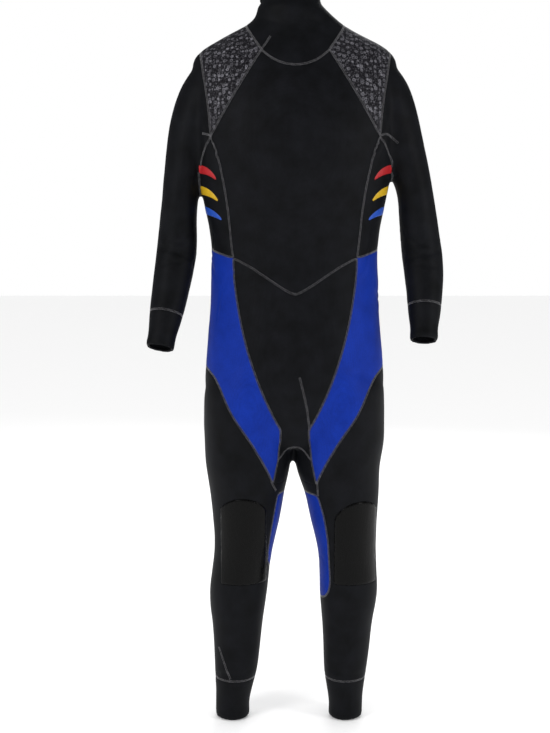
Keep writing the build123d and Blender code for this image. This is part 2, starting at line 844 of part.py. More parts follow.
# Collar tab: hook patch on the strap, loop patch on the collar, and the strap's sewn foot.
# Each is a curved strap about the collar's axis, between two radii, two angles and two heights
rim = neck_radius + wall
loop_outer = rim + patch_thick
hook_inner = loop_outer + tab_run
strap_inner = hook_inner + patch_thick
strap_outer = strap_inner + tab_thick
patch_to = tab_to - patch_inset
for name, inner, outer, start, end, inset in (
    ("tab_loop_patch", rim, loop_outer, patch_from, patch_to, 0),
    ("tab_hook_patch", hook_inner, strap_inner, patch_from + patch_inset, patch_to, hook_margin),
    ("collar_tab", strap_inner, strap_outer, tab_from, tab_to, 0),
    ("tab_foot", rim, strap_outer, anchor_from, anchor_to, 0),
):
    with BuildPart() as strap:
        with BuildSketch(Plane.XY.offset(tab_low + inset)):
            with BuildLine():
                inside = CenterArc((0, 0), inner, start, end - start)
                outside = CenterArc((0, 0), outer, start, end - start)
                Line(inside @ 0, outside @ 0)
                Line(inside @ 1, outside @ 1)
            make_face()
        extrude(amount=tab_high - tab_low - 2 * inset)
    strap.part.label = name
    export_step(strap.part, f"parts/{name}.step")
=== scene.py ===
import json
import math

import bmesh
import bpy
import numpy as np
from mathutils import Matrix, Vector, noise
from mathutils.bvhtree import BVHTree
from mathutils.kdtree import KDTree


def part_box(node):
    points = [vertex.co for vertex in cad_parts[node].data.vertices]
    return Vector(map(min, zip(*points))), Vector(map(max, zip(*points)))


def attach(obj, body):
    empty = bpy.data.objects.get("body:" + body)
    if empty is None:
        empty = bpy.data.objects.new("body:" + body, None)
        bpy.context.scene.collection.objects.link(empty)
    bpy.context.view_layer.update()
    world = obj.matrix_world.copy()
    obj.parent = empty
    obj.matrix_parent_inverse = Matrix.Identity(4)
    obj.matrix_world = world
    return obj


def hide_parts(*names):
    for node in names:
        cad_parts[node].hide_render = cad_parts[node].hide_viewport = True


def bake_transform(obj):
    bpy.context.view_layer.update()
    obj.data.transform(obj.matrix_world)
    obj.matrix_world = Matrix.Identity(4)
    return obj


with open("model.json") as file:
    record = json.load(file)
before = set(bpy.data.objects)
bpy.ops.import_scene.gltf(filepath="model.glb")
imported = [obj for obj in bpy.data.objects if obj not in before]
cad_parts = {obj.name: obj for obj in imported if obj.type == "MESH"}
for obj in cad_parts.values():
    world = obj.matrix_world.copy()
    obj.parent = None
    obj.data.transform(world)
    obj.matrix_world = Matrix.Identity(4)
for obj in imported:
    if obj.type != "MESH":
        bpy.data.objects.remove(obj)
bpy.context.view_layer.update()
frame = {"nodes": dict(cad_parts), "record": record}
nodes = frame["nodes"]
scene = bpy.context.scene
print("frame loaded:", len(nodes), "CAD nodes")

# What a maker would change on the suit as a whole, in metres
suit = {
    "middle": 0.008,  # the body's middle plane
    "quad": 0.004,  # edge of the skin's quads
    "thickness": 0.0046,  # neoprene with jersey on both faces
    "seamDip": 0.0008,  # how far a panel rolls in at its seams
    "seamReach": 0.0036,
    "crestReach": 0.0022,  # width over which a pad or print rises
    "hemTrim": 0.0015,  # the plugs that close the skin are cut off this far inside the hems
    "hemRoll": 0.0009,
    "windowHalf": 0.009,  # from the middle to each back panel at the zip
    "slitHalf": 0.0015,  # collar's split above the zip
    "waveDepth": 0.0007,  # soft unevenness of laminated foam
    "waveLength": 0.075,
}

# Each piece of the suit: the CAD nodes it stands for, its slot and what it moves with
pieces = {
    "collarPanel": {"nodes": ["collar"], "slot": "black_neoprene"},
    "chestPanel": {"nodes": ["chest_panel"], "slot": "black_neoprene"},
    "bellyPanel": {"nodes": ["belly_panel"], "slot": "black_neoprene"},
    "seatPanel": {"nodes": ["seat_panel"], "slot": "black_neoprene"},
    "crotchGusset": {"nodes": ["crotch_gusset"], "slot": "black_neoprene"},
}
for side in ("left", "right"):
    pieces[f"{side}ShoulderPanel"] = {"nodes": [f"{side}_shoulder_panel"], "slot": "printed_neoprene"}
    pieces[f"{side}SidePanel"] = {"nodes": [f"{side}_side_panel"], "slot": "black_neoprene"}
    pieces[f"{side}BackPanel"] = {"nodes": [f"{side}_back_panel"], "slot": "black_neoprene"}
    pieces[f"{side}HipPanel"] = {"nodes": [f"{side}_hip_panel"], "slot": "blue_neoprene"}
    pieces[f"{side}Sleeve"] = {
        "nodes": [f"{side}_upper_sleeve", f"{side}_elbow_section", f"{side}_forearm_sleeve"],
        "slot": "black_neoprene",
        "bend": "elbow",
    }
    pieces[f"{side}WristCuff"] = {
        "nodes": [f"{side}_wrist_cuff"], "slot": "black_neoprene", "body": f"{side}_forearm",
    }
    pieces[f"{side}Leg"] = {
        "nodes": [f"{side}_thigh_panel", f"{side}_knee_section", f"{side}_shin_panel"],
        "slot": "black_neoprene",
        "bend": "knee",
    }
    pieces[f"{side}InnerLegPanel"] = {
        "nodes": [f"{side}_inner_leg_panel"], "slot": "blue_neoprene", "bend": "knee",
    }
    pieces[f"{side}AnkleCuff"] = {
        "nodes": [f"{side}_ankle_cuff"], "slot": "black_neoprene", "body": f"{side}_shin",
    }
    pieces[f"{side}KneePad"] = {
        "nodes": [f"{side}_knee_pad"], "slot": "smooth_rubber", "bend": "knee", "rise": 0.0014,
    }
    for colour in ("red", "yellow", "blue"):
        pieces[f"{side}{colour.title()}Flash"] = {
            "nodes": [f"{side}_{colour}_flash"], "slot": f"{colour}_print", "rise": 0.0003,
        }


def sideOf(name):
    return "left" if name.startswith("left") else "right"


def bendOver(piece, side, joint):
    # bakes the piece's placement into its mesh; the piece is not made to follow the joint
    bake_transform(piece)


def newPiece(name, points, faces):
    mesh = bpy.data.meshes.new(name)
    mesh.from_pydata([tuple(p) for p in points], [], [tuple(f) for f in faces])
    mesh.update()
    mesh.polygons.foreach_set("use_smooth", [True] * len(mesh.polygons))
    piece = bpy.data.objects.new(name, mesh)
    scene.collection.objects.link(piece)
    return piece


def applied(piece, *modifiers):
    # adds modifiers, given as (kind, settings), and applies them to the mesh
    for kind, settings in modifiers:
        modifier = piece.modifiers.new(kind.title(), kind)
        for name, value in settings.items():
            setattr(modifier, name, value)
    graph = bpy.context.evaluated_depsgraph_get()
    mesh = bpy.data.meshes.new_from_object(piece.evaluated_get(graph))
    piece.modifiers.clear()
    piece.data = mesh


# Closed skin of the whole suit
overlays = [n for name in pieces if "rise" in pieces[name] for n in pieces[name]["nodes"]]
panelNodes = [n for name in pieces if "rise" not in pieces[name] for n in pieces[name]["nodes"]]
pieceOfNode = {n: name for name in pieces for n in pieces[name]["nodes"]}
mounts = {m["name"]: m for m in frame["record"]["mounts"]}


def lookup(names):
    # one search tree over several nodes, and the piece that owns each triangle
    points, faces, owners = [], [], []
    for name in names:
        mesh = nodes[name].data
        start = len(points)
        points.extend(v.co.copy() for v in mesh.vertices)
        faces.extend([start + i for i in p.vertices] for p in mesh.polygons)
        owners.extend([pieceOfNode[name]] * len(mesh.polygons))
    return BVHTree.FromPolygons(points, faces), owners


def meshArrays(mesh):
    points = np.empty(len(mesh.vertices) * 3)
    mesh.vertices.foreach_get("co", points)
    edges = np.empty(len(mesh.edges) * 2, np.int64)
    mesh.edges.foreach_get("vertices", edges)
    return points.reshape(-1, 3), edges.reshape(-1, 2)


def islandsOf(count, edges):
    label = np.arange(count)
    while True:
        lower = label.copy()
        np.minimum.at(lower, edges[:, 0], label[edges[:, 1]])
        np.minimum.at(lower, edges[:, 1], label[edges[:, 0]])
        lower = lower[lower]
        if (lower == label).all():
            return label
        label = lower


# Discs that close the neck, wrists and ankles while the skin is made
plug = {"depth": 0.02, "overlap": 0.002, "inset": 0.0005}
backStart = 0.03  # the zip's gap is closed only behind this depth
closingSlack = 0.0003


def closedSkin():
    # every panel and plug as one closed outer surface
    bm = bmesh.new()
    for name in panelNodes:
        mesh = nodes[name].data.copy()
        if name == "collar" or name.endswith("back_panel"):
            for v in mesh.vertices:
                nearZip = abs(v.co.x - suit["middle"]) < suit["windowHalf"] + closingSlack
                if nearZip and v.co.y > backStart:
                    v.co.x = suit["middle"]
        bm.from_mesh(mesh)
    for mount in mounts.values():
        axis = Vector(mount["axis"]).normalized()
        radius = mount["dims"]["r_mm"] / 1000 + plug["overlap"]
        place = Matrix.Translation(Vector(mount["pos_m"]) - axis * (plug["depth"] / 2 + plug["inset"]))
        turn = axis.to_track_quat("Z", "Y").to_matrix().to_4x4()
        bmesh.ops.create_cone(
            bm, cap_ends=True, segments=48, radius1=radius, radius2=radius, depth=plug["depth"],
            matrix=place @ turn,
        )
    mesh = bpy.data.meshes.new("closedSkin")
    bm.to_mesh(mesh)
    bm.free()
    shell = bpy.data.objects.new("closedSkin", mesh)
    scene.collection.objects.link(shell)
    applied(shell, ("REMESH", {"mode": "VOXEL", "voxel_size": suit["quad"]}))
    points, edges = meshArrays(shell.data)
    label = islandsOf(len(points), edges)
    values, counts = np.unique(label, return_counts=True)
    keep = label == values[counts.argmax()]  # the outside, without the lining
    number = np.cumsum(keep) - 1
    quads = [[number[i] for i in p.vertices] for p in shell.data.polygons if keep[p.vertices[0]]]
    bpy.data.objects.remove(shell)
    return newPiece("skin", points[keep], quads)


skin = closedSkin()
print("skin closed:", len(skin.data.vertices), "points")


# Shape of the worn neoprene
creases = {
    "smoothing": 3,  # rounds over the whole skin
    "full": 0.08,  # hollow, as a share of a quad, that counts as a crease
    "spread": 5,  # rounds that a crease reaches outward
    "rounds": 24,  # rounds that soften it
}


def averaged(values, edges, degree):
    # mean of each point's neighbours
    total = np.zeros_like(values)
    for k in range(values.shape[1]):
        total[:, k] = np.bincount(edges[:, 0], values[edges[:, 1], k], len(values))
        total[:, k] += np.bincount(edges[:, 1], values[edges[:, 0], k], len(values))
    return total / degree[:, None]


def normalsOf(mesh):
    normals = np.empty(len(mesh.vertices) * 3)
    mesh.vertices.foreach_get("normal", normals)
    return normals.reshape(-1, 3)


def setPoints(mesh, points):
    mesh.vertices.foreach_set("co", points.astype(np.float32).ravel())
    mesh.update()


def softenCreases(mesh):
    # rounds the voxel steps everywhere, and the armpits and crotch much more
    points, edges = meshArrays(mesh)
    degree = np.bincount(edges.ravel(), minlength=len(points))
    for _ in range(creases["smoothing"]):
        points += 0.5 * (averaged(points, edges, degree) - points)
    setPoints(mesh, points)
    hollow = ((averaged(points, edges, degree) - points) * normalsOf(mesh)).sum(1) / suit["quad"]
    crease = np.clip(hollow / creases["full"], 0, 1)[:, None]
    for _ in range(creases["spread"]):
        crease = np.maximum(crease, averaged(crease, edges, degree))
    for _ in range(creases["rounds"]):
        points += 0.5 * crease * (averaged(points, edges, degree) - points)
    setPoints(mesh, points)


# Folds the suit falls into: middle, direction, half length, half width, depth
folds = {
    "elbow crook": [
        (-0.229, -0.055, -0.497, 0.9, 0.10, 0.28, 0.030, 0.0052, 0.0019),
        (-0.231, -0.057, -0.516, 0.9, -0.06, -0.22, 0.034, 0.0056, 0.0022),
        (-0.236, -0.060, -0.536, 0.9, 0.05, 0.16, 0.026, 0.0048, 0.0014),
        (0.262, -0.055, -0.500, 0.9, 0.04, -0.26, 0.030, 0.0052, 0.0018),
        (0.264, -0.058, -0.520, 0.9, 0.08, 0.18, 0.034, 0.0056, 0.0022),
        (0.268, -0.062, -0.541, 0.9, 0.05, -0.12, 0.026, 0.0048, 0.0014),
    ],
    "armpit": [
        (-0.168, -0.090, -0.292, -0.35, 0.2, 0.9, 0.050, 0.0075, 0.0020),
        (-0.156, -0.105, -0.318, -0.45, 0.2, 0.85, 0.040, 0.0065, 0.0014),
        (0.184, -0.090, -0.288, 0.35, 0.2, 0.9, 0.050, 0.0075, 0.0020),
        (0.170, -0.105, -0.316, 0.45, 0.2, 0.85, 0.040, 0.0065, 0.0014),
        (-0.160, 0.070, -0.285, -0.35, 0.1, 0.9, 0.050, 0.0080, 0.0022),
        (0.176, 0.070, -0.285, 0.35, 0.1, 0.9, 0.050, 0.0080, 0.0022),
    ],
    "hollow of the knee": [
        (-0.094, 0.058, -1.112, 0.95, 0.05, 0.12, 0.044, 0.0062, 0.0026),
        (-0.097, 0.056, -1.134, 0.95, 0.05, -0.10, 0.048, 0.0066, 0.0030),
        (-0.101, 0.057, -1.157, 0.95, 0.05, 0.08, 0.038, 0.0058, 0.0022),
        (0.112, 0.058, -1.110, 0.95, 0.05, -0.12, 0.044, 0.0062, 0.0026),
        (0.116, 0.056, -1.133, 0.95, 0.05, 0.10, 0.048, 0.0066, 0.0030),
        (0.118, 0.057, -1.156, 0.95, 0.05, -0.06, 0.038, 0.0058, 0.0022),
    ],
    "waist": [
        (-0.118, -0.082, -0.560, 0.8, 0.5, 0.22, 0.045, 0.0085, 0.0012),
        (0.134, -0.082, -0.566, 0.8, -0.5, 0.22, 0.045, 0.0085, 0.0012),
        (-0.100, 0.080, -0.585, 0.9, -0.4, 0.20, 0.055, 0.0090, 0.0018),
        (0.116, 0.080, -0.585, 0.9, 0.4, 0.20, 0.055, 0.0090, 0.0018),
        (0.008, 0.092, -0.560, 1.0, 0.0, 0.03, 0.050, 0.0090, 0.0010),
    ],
    "groin": [
        (-0.070, -0.100, -0.850, 0.75, -0.25, -0.6, 0.050, 0.0080, 0.0016),
        (0.088, -0.100, -0.850, -0.75, -0.25, -0.6, 0.050, 0.0080, 0.0016),
        (-0.085, 0.098, -0.895, 0.95, 0.2, -0.22, 0.060, 0.0085, 0.0028),
        (0.103, 0.098, -0.895, 0.95, -0.2, 0.22, 0.060, 0.0085, 0.0028),
    ],
    "ankle": [
        (-0.122, -0.046, -1.408, 0.95, 0.0, 0.12, 0.030, 0.0056, 0.0012),
        (-0.122, 0.042, -1.402, 0.95, 0.0, -0.10, 0.034, 0.0060, 0.0018),
        (0.118, -0.046, -1.406, 0.95, 0.0, -0.12, 0.030, 0.0056, 0.0012),
        (0.118, 0.042, -1.402, 0.95, 0.0, 0.10, 0.034, 0.0060, 0.0018),
        (0.119, -0.040, -1.462, 0.03, 0.0, 1.0, 0.026, 0.0050, 0.0012),
    ],
    "neck": [
        (-0.040, -0.060, -0.060, 0.80, -0.55, -0.10, 0.026, 0.0060, 0.0009),
        (0.046, -0.060, -0.062, 0.80, 0.55, -0.12, 0.026, 0.0060, 0.0009),
    ],
}


def foldProfile(t):
    # a valley with a low ridge on each side
    return -np.exp(-t * t) + 0.42 * (np.exp(-((t - 1.7) ** 2)) + np.exp(-((t + 1.7) ** 2)))


def wearIn(mesh):
    points, edges = meshArrays(mesh)
    normals = normalsOf(mesh)
    long, short = suit["waveLength"], suit["waveLength"] / 2.3
    push = np.array([
        noise.noise(Vector(p) / long) + 0.5 * noise.noise(Vector(p) / short) for p in points
    ])
    push *= suit["waveDepth"]
    for lines in folds.values():
        for x, y, z, dx, dy, dz, length, width, depth in lines:
            offset = points - (x, y, z)
            along = np.array((dx, dy, dz))
            along /= np.linalg.norm(along)
            across = np.cross(normals, along)
            across /= np.maximum(np.linalg.norm(across, axis=1), 1e-6)[:, None]
            a = (offset @ along) / length
            b = (offset * across).sum(1) / width
            near = (np.linalg.norm(offset, axis=1) < 2.4 * length) & (np.abs(a) < 2.2)
            bend = 0.25 * np.sin(3.0 * a)
            push += near * depth * np.exp(-a * a) * foldProfile(b + bend)
    setPoints(mesh, points + normals * push[:, None])


softenCreases(skin.data)
wearIn(skin.data)
print("skin worn in")

# Panels: the skin cut where its nearest CAD piece changes
panelTree, panelOwners = lookup(panelNodes)
overlayTree, overlayOwners = lookup(overlays)
overlayNear = {"KneePad": 0.0016, "Flash": 0.0022}


def ownerAt(point):
    # a pad or print where one lies close over the skin, else the nearest panel
    place, _, index, distance = overlayTree.find_nearest(point, max(overlayNear.values()))
    if place is not None:
        name = overlayOwners[index]
        if distance < next(v for k, v in overlayNear.items() if name.endswith(k)):
            return name
    return panelOwners[panelTree.find_nearest(point)[2]]


def cutIntoPanels(bm):
    # puts a point where each edge crosses a seam, then splits the faces along those points
    bm.verts.ensure_lookup_table()
    owner = [ownerAt(v.co) for v in bm.verts]
    crossing = [e for e in bm.edges if owner[e.verts[0].index] != owner[e.verts[1].index]]
    touched = set()
    cuts = set()
    for edge in crossing:
        first, last = edge.verts
        low, high = 0.0, 1.0
        for _ in range(7):
            middle = (low + high) / 2
            if ownerAt(first.co.lerp(last.co, middle)) == owner[first.index]:
                low = middle
            else:
                high = middle
        touched.update(edge.link_faces)
        _, point = bmesh.utils.edge_split(edge, first, min(max(low, 0.08), 0.92))
        cuts.add(point)
    number = {v: owner[v.index] for v in bm.verts if v not in cuts}
    for face in touched:
        marks = [v for v in face.verts if v in cuts]
        if len(marks) == 2:
            bmesh.utils.face_split(face, marks[0], marks[1])
        elif len(marks) > 2:
            bmesh.ops.poke(bm, faces=[face])
    faceOwner = {}
    for face in bm.faces:
        names = [number[v] for v in face.verts if v in number]
        faceOwner[face] = names[0] if names else ownerAt(face.calc_center_median())
    return faceOwner


bm = bmesh.new()
bm.from_mesh(skin.data)
faceOwner = cutIntoPanels(bm)
print("skin cut into", len(set(faceOwner.values())), "panels")


def seamLines(bm, faceOwner):
    # the edges between two panels, joined end to end: (pair of panels, points)
    links = {}
    for edge in bm.edges:
        names = {faceOwner[f] for f in edge.link_faces}
        if len(names) == 2:
            first, last = edge.verts
            near = links.setdefault(tuple(sorted(names)), {})
            near.setdefault(first, []).append(last)
            near.setdefault(last, []).append(first)
    lines = []
    for pair, near in sorted(links.items()):
        while near:
            start = next((v for v in near if len(near[v]) == 1), next(iter(near)))
            line = [start]
            while line[-1] in near:
                here = line[-1]
                onward = near[here].pop()
                near[onward].remove(here)
                for v in (here, onward):
                    if v in near and not near[v]:
                        del near[v]
                line.append(onward)
            if len(line) > 4:
                lines.append((pair, [v.co.copy() for v in line]))
    return lines


lines = seamLines(bm, faceOwner)
isOver = {name for name in pieces if "rise" in pieces[name]}
unsewn = (
    {"leftBackPanel", "rightBackPanel"},  # the zip is between them
    {"crotchGusset", "leftLeg"},  # glued edge to edge
    {"crotchGusset", "rightLeg"},
)
sewn = [(pair, line) for pair, line in lines if not isOver & set(pair) and set(pair) not in unsewn]
edged = [(pair, line) for pair, line in lines if isOver & set(pair)]
seamLength = sum((b - a).length for _, line in sewn for a, b in zip(line, line[1:]))
print("seams:", len(sewn), "lines,", round(seamLength, 2), "m")


def nearTree(lines):
    points = [p for _, line in lines for p in line]
    tree = KDTree(len(points))
    for index, point in enumerate(points):
        tree.insert(point, index)
    tree.balance()
    return tree


def rollEdges(bm, faceOwner):
    # panels roll in at their seams; pads and prints stand proud of what they lie on
    sewnTree, edgedTree = nearTree(sewn), nearTree(edged)
    bm.normal_update()
    moves = []
    for v in bm.verts:
        move = 0.0
        distance = sewnTree.find(v.co)[2]
        if distance < 3 * suit["seamReach"]:
            move -= suit["seamDip"] * math.exp(-((distance / suit["seamReach"]) ** 2))
        names = {faceOwner[f] for f in v.link_faces}
        if len(names) == 1 and names <= isOver:
            rise = pieces[next(iter(names))]["rise"]
            share = min(edgedTree.find(v.co)[2] / suit["crestReach"], 1.0)
            move += rise * math.sin(share * math.pi / 2)
        moves.append((v, v.normal * move))
    for v, move in moves:
        v.co += move
    bm.normal_update()


rollEdges(bm, faceOwner)
skinTree = BVHTree.FromBMesh(bm)


# Materials
def linear(code):
    # sRGB hex to the linear colour that the shader takes
    values = [int(code[i:i + 2], 16) / 255 for i in (1, 3, 5)]
    return [v / 12.92 if v <= 0.04045 else ((v + 0.055) / 1.055) ** 2.4 for v in values] + [1.0]


def fill(node, inputs):
    for name, value in inputs.items():
        if isinstance(value, bpy.types.NodeSocket):
            node.id_data.links.new(value, node.inputs[name])
        else:
            node.inputs[name].default_value = value


def addNode(tree, kind, settings=None, inputs=None):
    # a node with its settings; an input is a value, or another node's output to link
    node = tree.nodes.new(kind)
    for name, value in (settings or {}).items():
        setattr(node, name, value)
    fill(node, inputs or {})
    return node


def newMaterial(name, shader):
    material = bpy.data.materials.new(name)
    material.use_nodes = True
    tree = material.node_tree
    tree.nodes.clear()
    surface = addNode(tree, "ShaderNodeBsdfPrincipled", None, shader)
    addNode(tree, "ShaderNodeOutputMaterial", None, {"Surface": surface.outputs["BSDF"]})
    place = addNode(tree, "ShaderNodeTexCoord").outputs["Object"]
    return material, tree, surface, place


def perMillimetre(size):
    # texture scale of a pattern that repeats every so many millimetres
    return 1000 / size


def bandsPerMillimetre(size):
    # the same for a wave texture, whose bands are pi / 10 units apart
    return perMillimetre(size) * math.pi / 10


def jerseyNeoprene(name, colours):
    # Nylon jersey laminated on neoprene foam: a matt knit with a faint cool sheen
    jersey = {
        "loop": 2.4,  # mm; a real loop of 0.5 mm is too fine to show
        "wale": 15.08,  # mm; a real one is as fine as a loop, and this wide it shows as soft ribs
        "mottle": 38,  # mm
        "depth": 0.00016,
    }
    material, tree, surface, place = newMaterial(name, {
        "Roughness": 0.58, "IOR": 1.5, "Specular IOR Level": 0.07,
        "Sheen Weight": 0.018, "Sheen Roughness": 0.4, "Sheen Tint": linear("#b9c8e0"),
    })
    mottle = addNode(tree, "ShaderNodeTexNoise", None, {
        "Vector": place, "Scale": perMillimetre(jersey["mottle"]), "Detail": 3.0, "Roughness": 0.55,
    })
    shade = addNode(tree, "ShaderNodeValToRGB", None, {"Fac": mottle.outputs["Fac"]})
    shade.color_ramp.elements[0].position = 0.3
    shade.color_ramp.elements[0].color = linear(colours[0])
    shade.color_ramp.elements[1].position = 0.72
    shade.color_ramp.elements[1].color = linear(colours[1])
    wales = addNode(tree, "ShaderNodeTexWave", {"bands_direction": "X"}, {
        "Vector": place, "Scale": bandsPerMillimetre(jersey["wale"]), "Distortion": 1.2, "Detail": 2.0,
        "Detail Scale": 3.0,
    })
    courses = addNode(tree, "ShaderNodeTexVoronoi", {"feature": "F1"}, {
        "Vector": place, "Scale": perMillimetre(jersey["loop"]), "Randomness": 0.45,
    })
    knit = addNode(tree, "ShaderNodeMath", {"operation": "MULTIPLY_ADD"}, {
        0: courses.outputs["Distance"], 1: 0.8, 2: wales.outputs["Fac"],
    })
    bump = addNode(tree, "ShaderNodeBump", None, {
        "Height": knit.outputs["Value"], "Strength": 0.5, "Distance": jersey["depth"],
    })
    loops = addNode(tree, "ShaderNodeMapRange", None, {
        "Value": courses.outputs["Distance"], "From Max": 0.7, "To Min": 1.08, "To Max": 0.8,
    })
    tinted = addNode(tree, "ShaderNodeVectorMath", {"operation": "SCALE"}, {
        "Vector": shade.outputs["Color"], "Scale": loops.outputs["Result"],
    })
    fill(surface, {"Base Color": tinted.outputs["Vector"], "Normal": bump.outputs["Normal"]})
    return material


def printedJersey(name):
    # Jersey with a small all-over print of rings, dots and petals in worn grey ink
    motif = {
        "cell": 9.0,  # mm from ring to ring
        "ring": 0.31,  # radius as a share of the cell
        "line": 0.08,  # half width of a ring's line, as a share of the cell
        "eye": 0.13,
        "dots": 3.8,  # mm
        "dot": 0.26,
        "petals": 5.6,  # mm
        "petalLine": 0.07,
        "petalInk": 0.25,  # strength against the rings
        "dotInk": 0.75,
        "worn": 14,  # mm
        "loop": 2.4,  # mm; coarser than the real knit, as on the plain jersey
    }
    material, tree, surface, place = newMaterial(name, {
        "Roughness": 0.58, "IOR": 1.5, "Specular IOR Level": 0.08,
        "Sheen Weight": 0.015, "Sheen Roughness": 0.5, "Sheen Tint": linear("#b9c8e0"),
    })
    cells = addNode(tree, "ShaderNodeTexVoronoi", {"feature": "F1"}, {
        "Vector": place, "Scale": perMillimetre(motif["cell"]), "Randomness": 0.55,
    })
    away = addNode(tree, "ShaderNodeMath", {"operation": "SUBTRACT"}, {
        0: cells.outputs["Distance"], 1: motif["ring"],
    })
    away = addNode(tree, "ShaderNodeMath", {"operation": "ABSOLUTE"}, {0: away.outputs["Value"]})
    ring = addNode(tree, "ShaderNodeMath", {"operation": "LESS_THAN"}, {
        0: away.outputs["Value"], 1: motif["line"],
    })
    eye = addNode(tree, "ShaderNodeMath", {"operation": "LESS_THAN"}, {
        0: cells.outputs["Distance"], 1: motif["eye"],
    })
    dots = addNode(tree, "ShaderNodeTexVoronoi", {"feature": "F1"}, {
        "Vector": place, "Scale": perMillimetre(motif["dots"]), "Randomness": 0.9,
    })
    dot = addNode(tree, "ShaderNodeMath", {"operation": "LESS_THAN"}, {
        0: dots.outputs["Distance"], 1: motif["dot"],
    })
    petals = addNode(tree, "ShaderNodeTexVoronoi", {"feature": "DISTANCE_TO_EDGE"}, {
        "Vector": place, "Scale": perMillimetre(motif["petals"]), "Randomness": 1.0,
    })
    petal = addNode(tree, "ShaderNodeMath", {"operation": "LESS_THAN"}, {
        0: petals.outputs["Distance"], 1: motif["petalLine"],
    })
    worn = addNode(tree, "ShaderNodeTexNoise", None, {
        "Vector": place, "Scale": perMillimetre(motif["worn"]), "Detail": 2.0,
    })
    ink = addNode(tree, "ShaderNodeMath", {"operation": "MAXIMUM"}, {
        0: ring.outputs["Value"], 1: eye.outputs["Value"],
    })
    faint = addNode(tree, "ShaderNodeMath", {"operation": "MULTIPLY"}, {
        0: petal.outputs["Value"], 1: motif["petalInk"],
    })
    small = addNode(tree, "ShaderNodeMath", {"operation": "MAXIMUM"}, {
        0: dot.outputs["Value"], 1: faint.outputs["Value"],
    })
    small = addNode(tree, "ShaderNodeMath", {"operation": "MULTIPLY"}, {
        0: small.outputs["Value"], 1: motif["dotInk"],
    })
    ink = addNode(tree, "ShaderNodeMath", {"operation": "MAXIMUM"}, {
        0: ink.outputs["Value"], 1: small.outputs["Value"],
    })
    thin = addNode(tree, "ShaderNodeMapRange", None, {
        "Value": worn.outputs["Fac"], "From Min": 0.35, "From Max": 0.65, "To Min": 0.35, "To Max": 1.0,
    })
    ink = addNode(tree, "ShaderNodeMath", {"operation": "MULTIPLY"}, {
        0: ink.outputs["Value"], 1: thin.outputs["Result"],
    })
    blend = addNode(tree, "ShaderNodeMix", {"data_type": "RGBA"}, {
        "Factor": ink.outputs["Value"], "A": linear("#0e0d11"), "B": linear("#66656b"),
    })
    fill(surface, {"Base Color": blend.outputs["Result"]})
    knit = addNode(tree, "ShaderNodeTexVoronoi", {"feature": "F1"}, {
        "Vector": place, "Scale": perMillimetre(motif["loop"]), "Randomness": 0.45,
    })
    bump = addNode(tree, "ShaderNodeBump", None, {
        "Height": knit.outputs["Distance"], "Strength": 0.5, "Distance": 0.00016,
    })
    fill(surface, {"Normal": bump.outputs["Normal"]})
    return material


def smoothSkinRubber(name):
    # Smooth-skin neoprene, moulded against polished plate: dark, glossy, with long drawn streaks
    material, tree, surface, place = newMaterial(name, {
        "IOR": 1.52, "Specular IOR Level": 0.08,
    })
    stretch = addNode(tree, "ShaderNodeMapping", None, {
        "Vector": place, "Scale": (90, 90, 7),  # streaks 11 mm apart and 140 mm long
    })
    streak = addNode(tree, "ShaderNodeTexNoise", None, {
        "Vector": stretch.outputs["Vector"], "Scale": 1.0, "Detail": 4.0, "Roughness": 0.6,
    })
    gloss = addNode(tree, "ShaderNodeMapRange", None, {
        "Value": streak.outputs["Fac"], "From Min": 0.35, "From Max": 0.65, "To Min": 0.17, "To Max": 0.42,
    })
    shade = addNode(tree, "ShaderNodeMix", {"data_type": "RGBA"}, {
        "Factor": streak.outputs["Fac"], "A": linear("#040404"), "B": linear("#0b0b0b"),
    })
    bump = addNode(tree, "ShaderNodeBump", None, {
        "Height": streak.outputs["Fac"], "Strength": 0.35, "Distance": 0.0012,
    })
    fill(surface, {
        "Roughness": gloss.outputs["Result"],
        "Base Color": shade.outputs["Result"],
        "Normal": bump.outputs["Normal"],
    })
    return material


def screenPrint(name, colour, shadow):
    # Screen-printed plastisol ink on jersey: even, slightly rubbery, the knit just showing
    ink = {"cloud": 9, "loop": 2.4}  # mm; the loops are coarser than the real knit, as on the jersey
    material, tree, surface, place = newMaterial(name, {
        "Roughness": 0.5, "IOR": 1.48, "Specular IOR Level": 0.4,
    })
    cloud = addNode(tree, "ShaderNodeTexNoise", None, {
        "Vector": place, "Scale": perMillimetre(ink["cloud"]), "Detail": 3.0,
    })
    shade = addNode(tree, "ShaderNodeMix", {"data_type": "RGBA"}, {
        "Factor": cloud.outputs["Fac"], "A": linear(shadow), "B": linear(colour),
    })
    knit = addNode(tree, "ShaderNodeTexVoronoi", {"feature": "F1"}, {
        "Vector": place, "Scale": perMillimetre(ink["loop"]), "Randomness": 0.45,
    })
    bump = addNode(tree, "ShaderNodeBump", None, {
        "Height": knit.outputs["Distance"], "Strength": 0.3, "Distance": 0.0001,
    })
    fill(surface, {"Base Color": shade.outputs["Result"], "Normal": bump.outputs["Normal"]})
    return material


